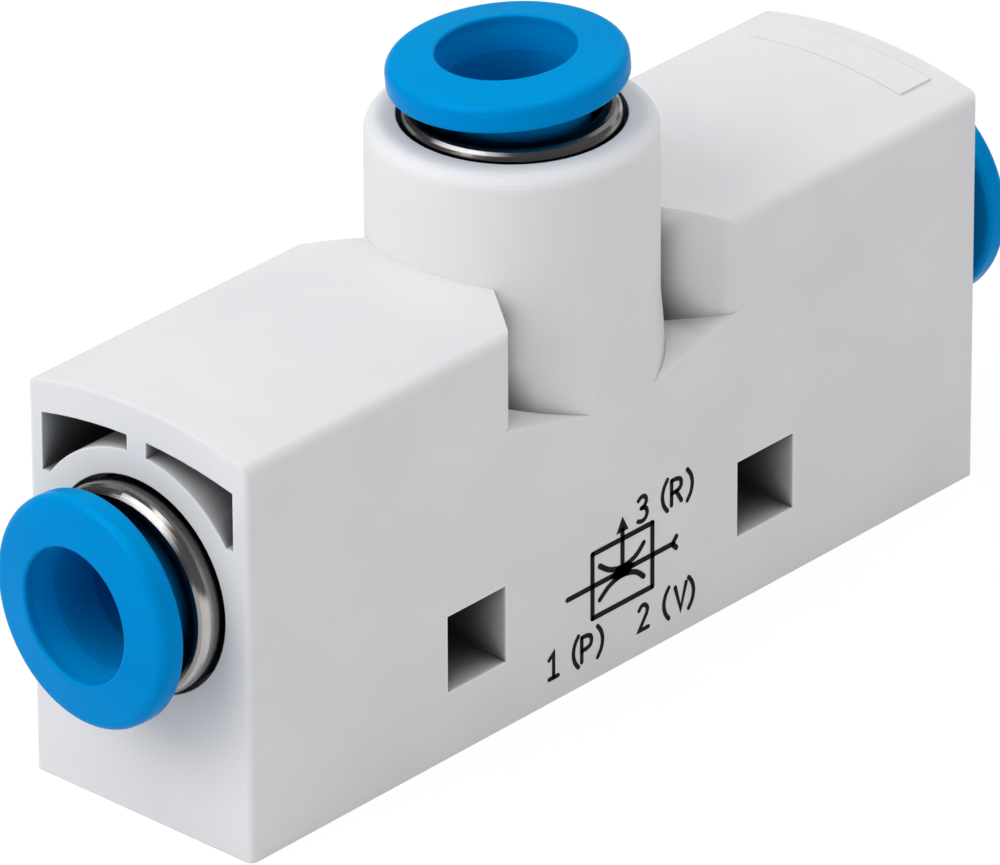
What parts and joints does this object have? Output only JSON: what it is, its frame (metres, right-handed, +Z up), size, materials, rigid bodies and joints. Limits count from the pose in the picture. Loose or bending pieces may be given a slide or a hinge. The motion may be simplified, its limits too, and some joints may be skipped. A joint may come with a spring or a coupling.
{
  "type": "vacuum ejector",
  "caption": "T-shaped vacuum ejector: moulded body with push-in tube connections for pressure and vacuum at its ends and an upright exhaust tower, each with a release ring that presses in.",
  "frame": {"origin": "centre of the housing's flat bottom, below the exhaust tower's axis", "axes": "+X along the housing from the pressure port to the vacuum port, +Y across it, +Z up along the exhaust tower"},
  "size_m": [0.0596, 0.0138, 0.0305],
  "materials": {
    "housing_plastic": "fine-grained moulded polymer, pale grey",
    "plated_brass": "turned brass, bright nickel plate",
    "blue_plastic": "moulded acetal, clear blue, slightly glossy",
    "spring_steel": "stamped stainless spring steel",
    "support_plastic": "natural acetal",
    "seal_rubber": "black nitrile rubber",
    "nozzle_brass": "turned brass"
  },
  "bodies": {
    "ejector_body": {"housing": "housing_plastic", "pressure_sleeve": "plated_brass", "pressure_grip_ring": "spring_steel", "pressure_support_ring": "support_plastic", "pressure_seal": "seal_rubber", "vacuum_sleeve": "plated_brass", "vacuum_grip_ring": "spring_steel", "vacuum_support_ring": "support_plastic", "vacuum_seal": "seal_rubber", "exhaust_sleeve": "plated_brass", "exhaust_grip_ring": "spring_steel", "exhaust_support_ring": "support_plastic", "exhaust_seal": "seal_rubber", "jet_nozzle": "nozzle_brass", "jet_seal": "seal_rubber", "receiver_nozzle": "support_plastic", "receiver_seal": "seal_rubber"},
    "pressure_ring": {"pressure_release_ring": "blue_plastic"},
    "vacuum_ring": {"vacuum_release_ring": "blue_plastic"},
    "exhaust_ring": {"exhaust_release_ring": "blue_plastic"}
  },
  "joints": [
    {"name": "pressure_ring_press", "type": "slide", "parent": "ejector_body", "child": "pressure_ring", "axis": [1, 0, 0], "range_m": [0, 0.0006], "stiffness_N_per_m": 400},
    {"name": "vacuum_ring_press", "type": "slide", "parent": "ejector_body", "child": "vacuum_ring", "axis": [-1, 0, 0], "range_m": [0, 0.0006], "stiffness_N_per_m": 400},
    {"name": "exhaust_ring_press", "type": "slide", "parent": "ejector_body", "child": "exhaust_ring", "axis": [0, 0, -1], "range_m": [0, 0.0006], "stiffness_N_per_m": 400}
  ]
}
